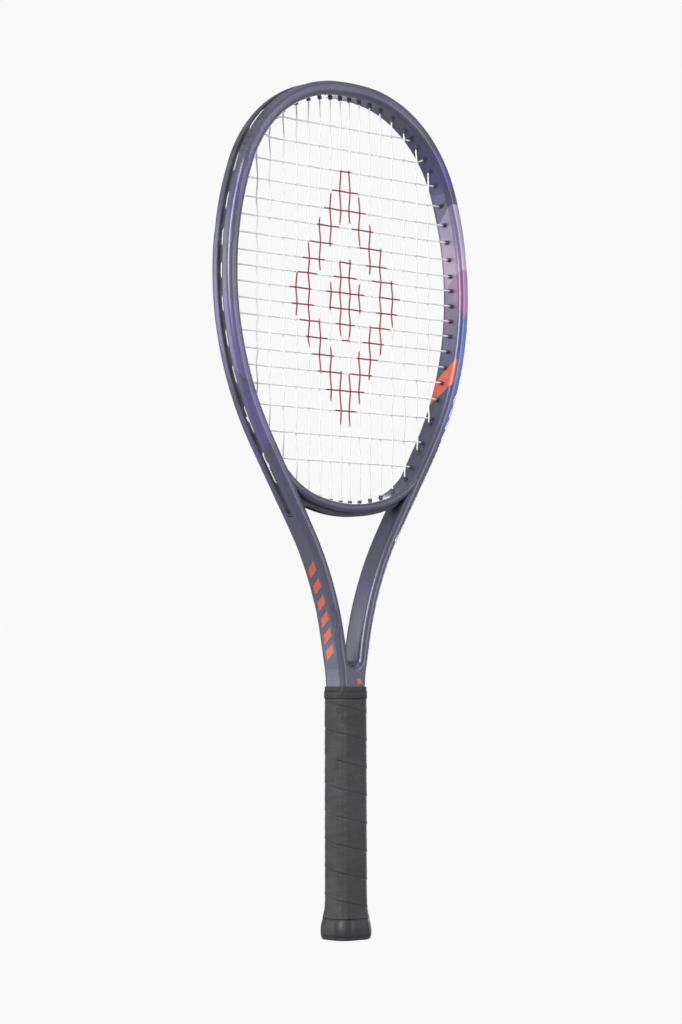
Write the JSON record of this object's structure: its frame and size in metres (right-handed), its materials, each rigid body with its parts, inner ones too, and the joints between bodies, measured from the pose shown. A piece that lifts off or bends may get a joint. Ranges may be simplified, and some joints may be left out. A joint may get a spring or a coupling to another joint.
{
  "type": "tennis racket",
  "caption": "Strung full-size tennis racket with an oval head, forked throat, bumper guard, grommet strips and a wrapped octagonal handle with a flared butt.",
  "frame": {"origin": "centre of the butt end of the handle", "axes": "+Z along the handle to the head tip, +X across the face, +Y normal to the strings"},
  "size_m": [0.262, 0.0346, 0.6858],
  "materials": {
    "frame_paint": "satin",
    "guard_nylon": "matte",
    "string": "gloss",
    "pallet_foam": "matte",
    "cap_plastic": "satin",
    "staple_steel": "bright",
    "grip_tape": "matte",
    "tape": "matte",
    "collar_rubber": "matte"
  },
  "bodies": {
    "racket": {"frame_tube": "frame_paint", "throat_bridge": "frame_paint", "bumper_guard": "guard_nylon", "side_grommet_strip_left": "guard_nylon", "side_grommet_strip_right": "guard_nylon", "throat_grommet_strip": "guard_nylon", "main_string": "string", "cross_string": "string", "handle_pallet_front": "pallet_foam", "handle_pallet_back": "pallet_foam", "butt_cap": "cap_plastic", "butt_cap_staples": "staple_steel", "base_grip": "grip_tape", "grip_finishing_tape": "tape"},
    "door": {"butt_cap_door": "cap_plastic"},
    "collar": {"grip_collar": "collar_rubber"}
  },
  "joints": [
    {"name": "butt_cap_door_pull", "type": "slide", "parent": "racket", "child": "door", "axis": [0, 0, -1], "range_m": [0, 0.015]},
    {"name": "grip_collar_slide", "type": "slide", "parent": "racket", "child": "collar", "axis": [0, 0, 1], "range_m": [0, 0.004]}
  ]
}
